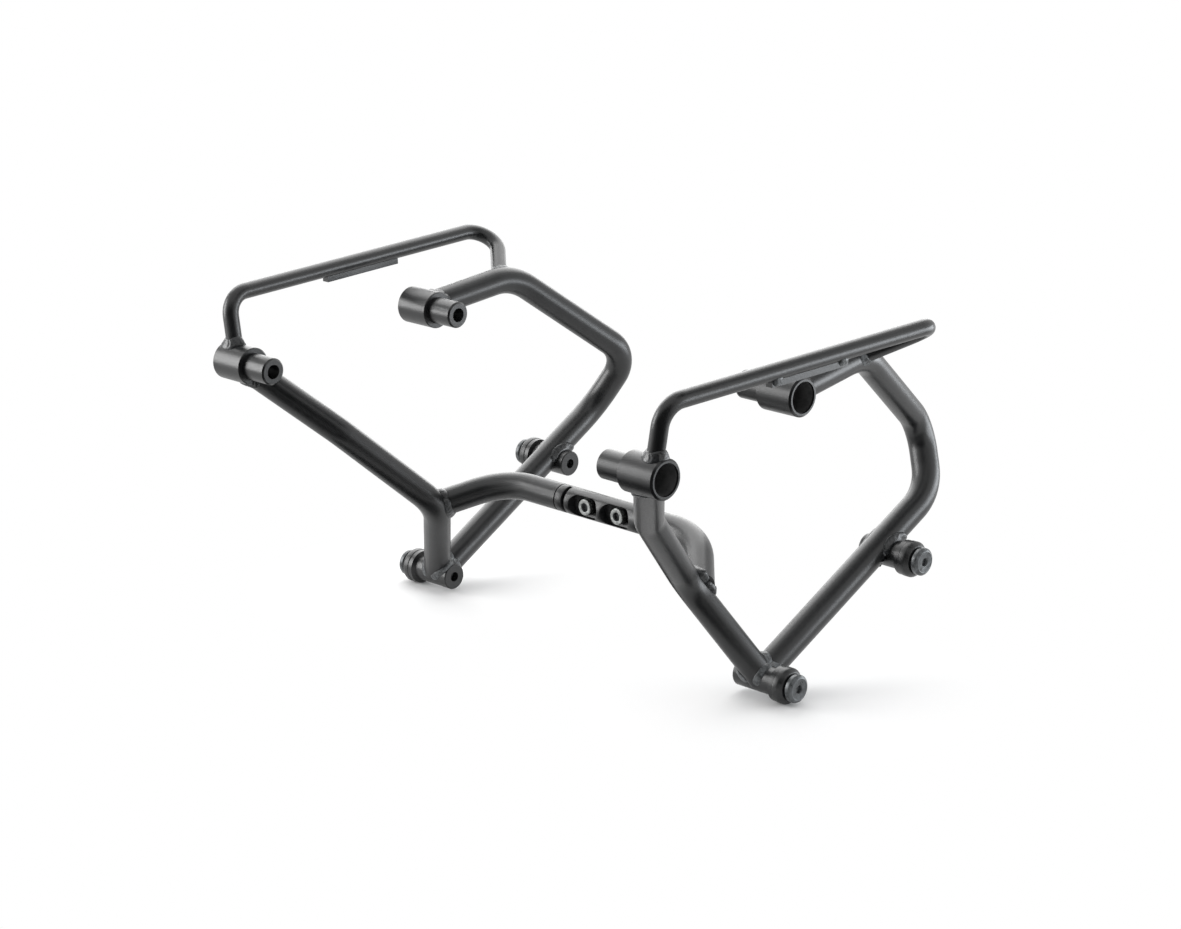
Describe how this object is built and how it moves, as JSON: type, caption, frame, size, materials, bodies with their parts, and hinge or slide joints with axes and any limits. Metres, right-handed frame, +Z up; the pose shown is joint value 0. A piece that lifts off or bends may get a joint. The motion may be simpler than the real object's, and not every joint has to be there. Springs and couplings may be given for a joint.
{
  "type": "motorbike pannier frame",
  "caption": "Pannier frame of bent round tube: mirrored side frames with bolt-on bosses, bag studs and a top rail, joined by a bolted half-lap crossbar.",
  "frame": {"origin": "bottom centre of the whole frame: on the middle plane between the two sides, level with the underside of the lower collars", "axes": "+X to the right-hand side frame, +Y from the front bosses towards the rear bend, +Z up"},
  "size_m": [0.3986, 0.3046, 0.2226],
  "materials": {
    "frame_coat": "satin black powder coat over steel tube",
    "weld_coat": "powder coat over rippled weld beads",
    "lap_coat": "satin black powder coat over machined steel",
    "screw_steel": "bright zinc-plated socket screws",
    "collar_rubber": "matt black",
    "stud_steel": "black-plated steel"
  },
  "bodies": {
    "root": {"joint_screws": "screw_steel", "left_crossbar": "frame_coat", "left_front_boss": "frame_coat", "left_front_tube": "frame_coat", "left_lap_end": "lap_coat", "left_lower_bush": "frame_coat", "left_lower_collar": "collar_rubber", "left_lower_stud": "stud_steel", "left_main_tube": "frame_coat", "left_rail": "frame_coat", "left_rail_strip": "frame_coat", "left_rear_boss": "frame_coat", "left_rear_bush": "frame_coat", "left_rear_collar": "collar_rubber", "left_rear_stud": "stud_steel", "left_weld_crossbar": "weld_coat", "left_weld_front_boss": "weld_coat", "left_weld_lower_bush": "weld_coat", "left_weld_rail_front": "weld_coat", "left_weld_rail_rear": "weld_coat", "left_weld_rear_boss": "weld_coat", "left_weld_rear_bush": "weld_coat", "right_crossbar": "frame_coat", "right_front_boss": "frame_coat", "right_front_tube": "frame_coat", "right_lap_end": "lap_coat", "right_lower_bush": "frame_coat", "right_lower_collar": "collar_rubber", "right_lower_stud": "stud_steel", "right_main_tube": "frame_coat", "right_rail": "frame_coat", "right_rail_strip": "frame_coat", "right_rear_boss": "frame_coat", "right_rear_bush": "frame_coat", "right_rear_collar": "collar_rubber", "right_rear_stud": "stud_steel", "right_weld_crossbar": "weld_coat", "right_weld_front_boss": "weld_coat", "right_weld_lower_bush": "weld_coat", "right_weld_rail_front": "weld_coat", "right_weld_rail_rear": "weld_coat", "right_weld_rear_boss": "weld_coat", "right_weld_rear_bush": "weld_coat"}
  },
  "joints": []
}
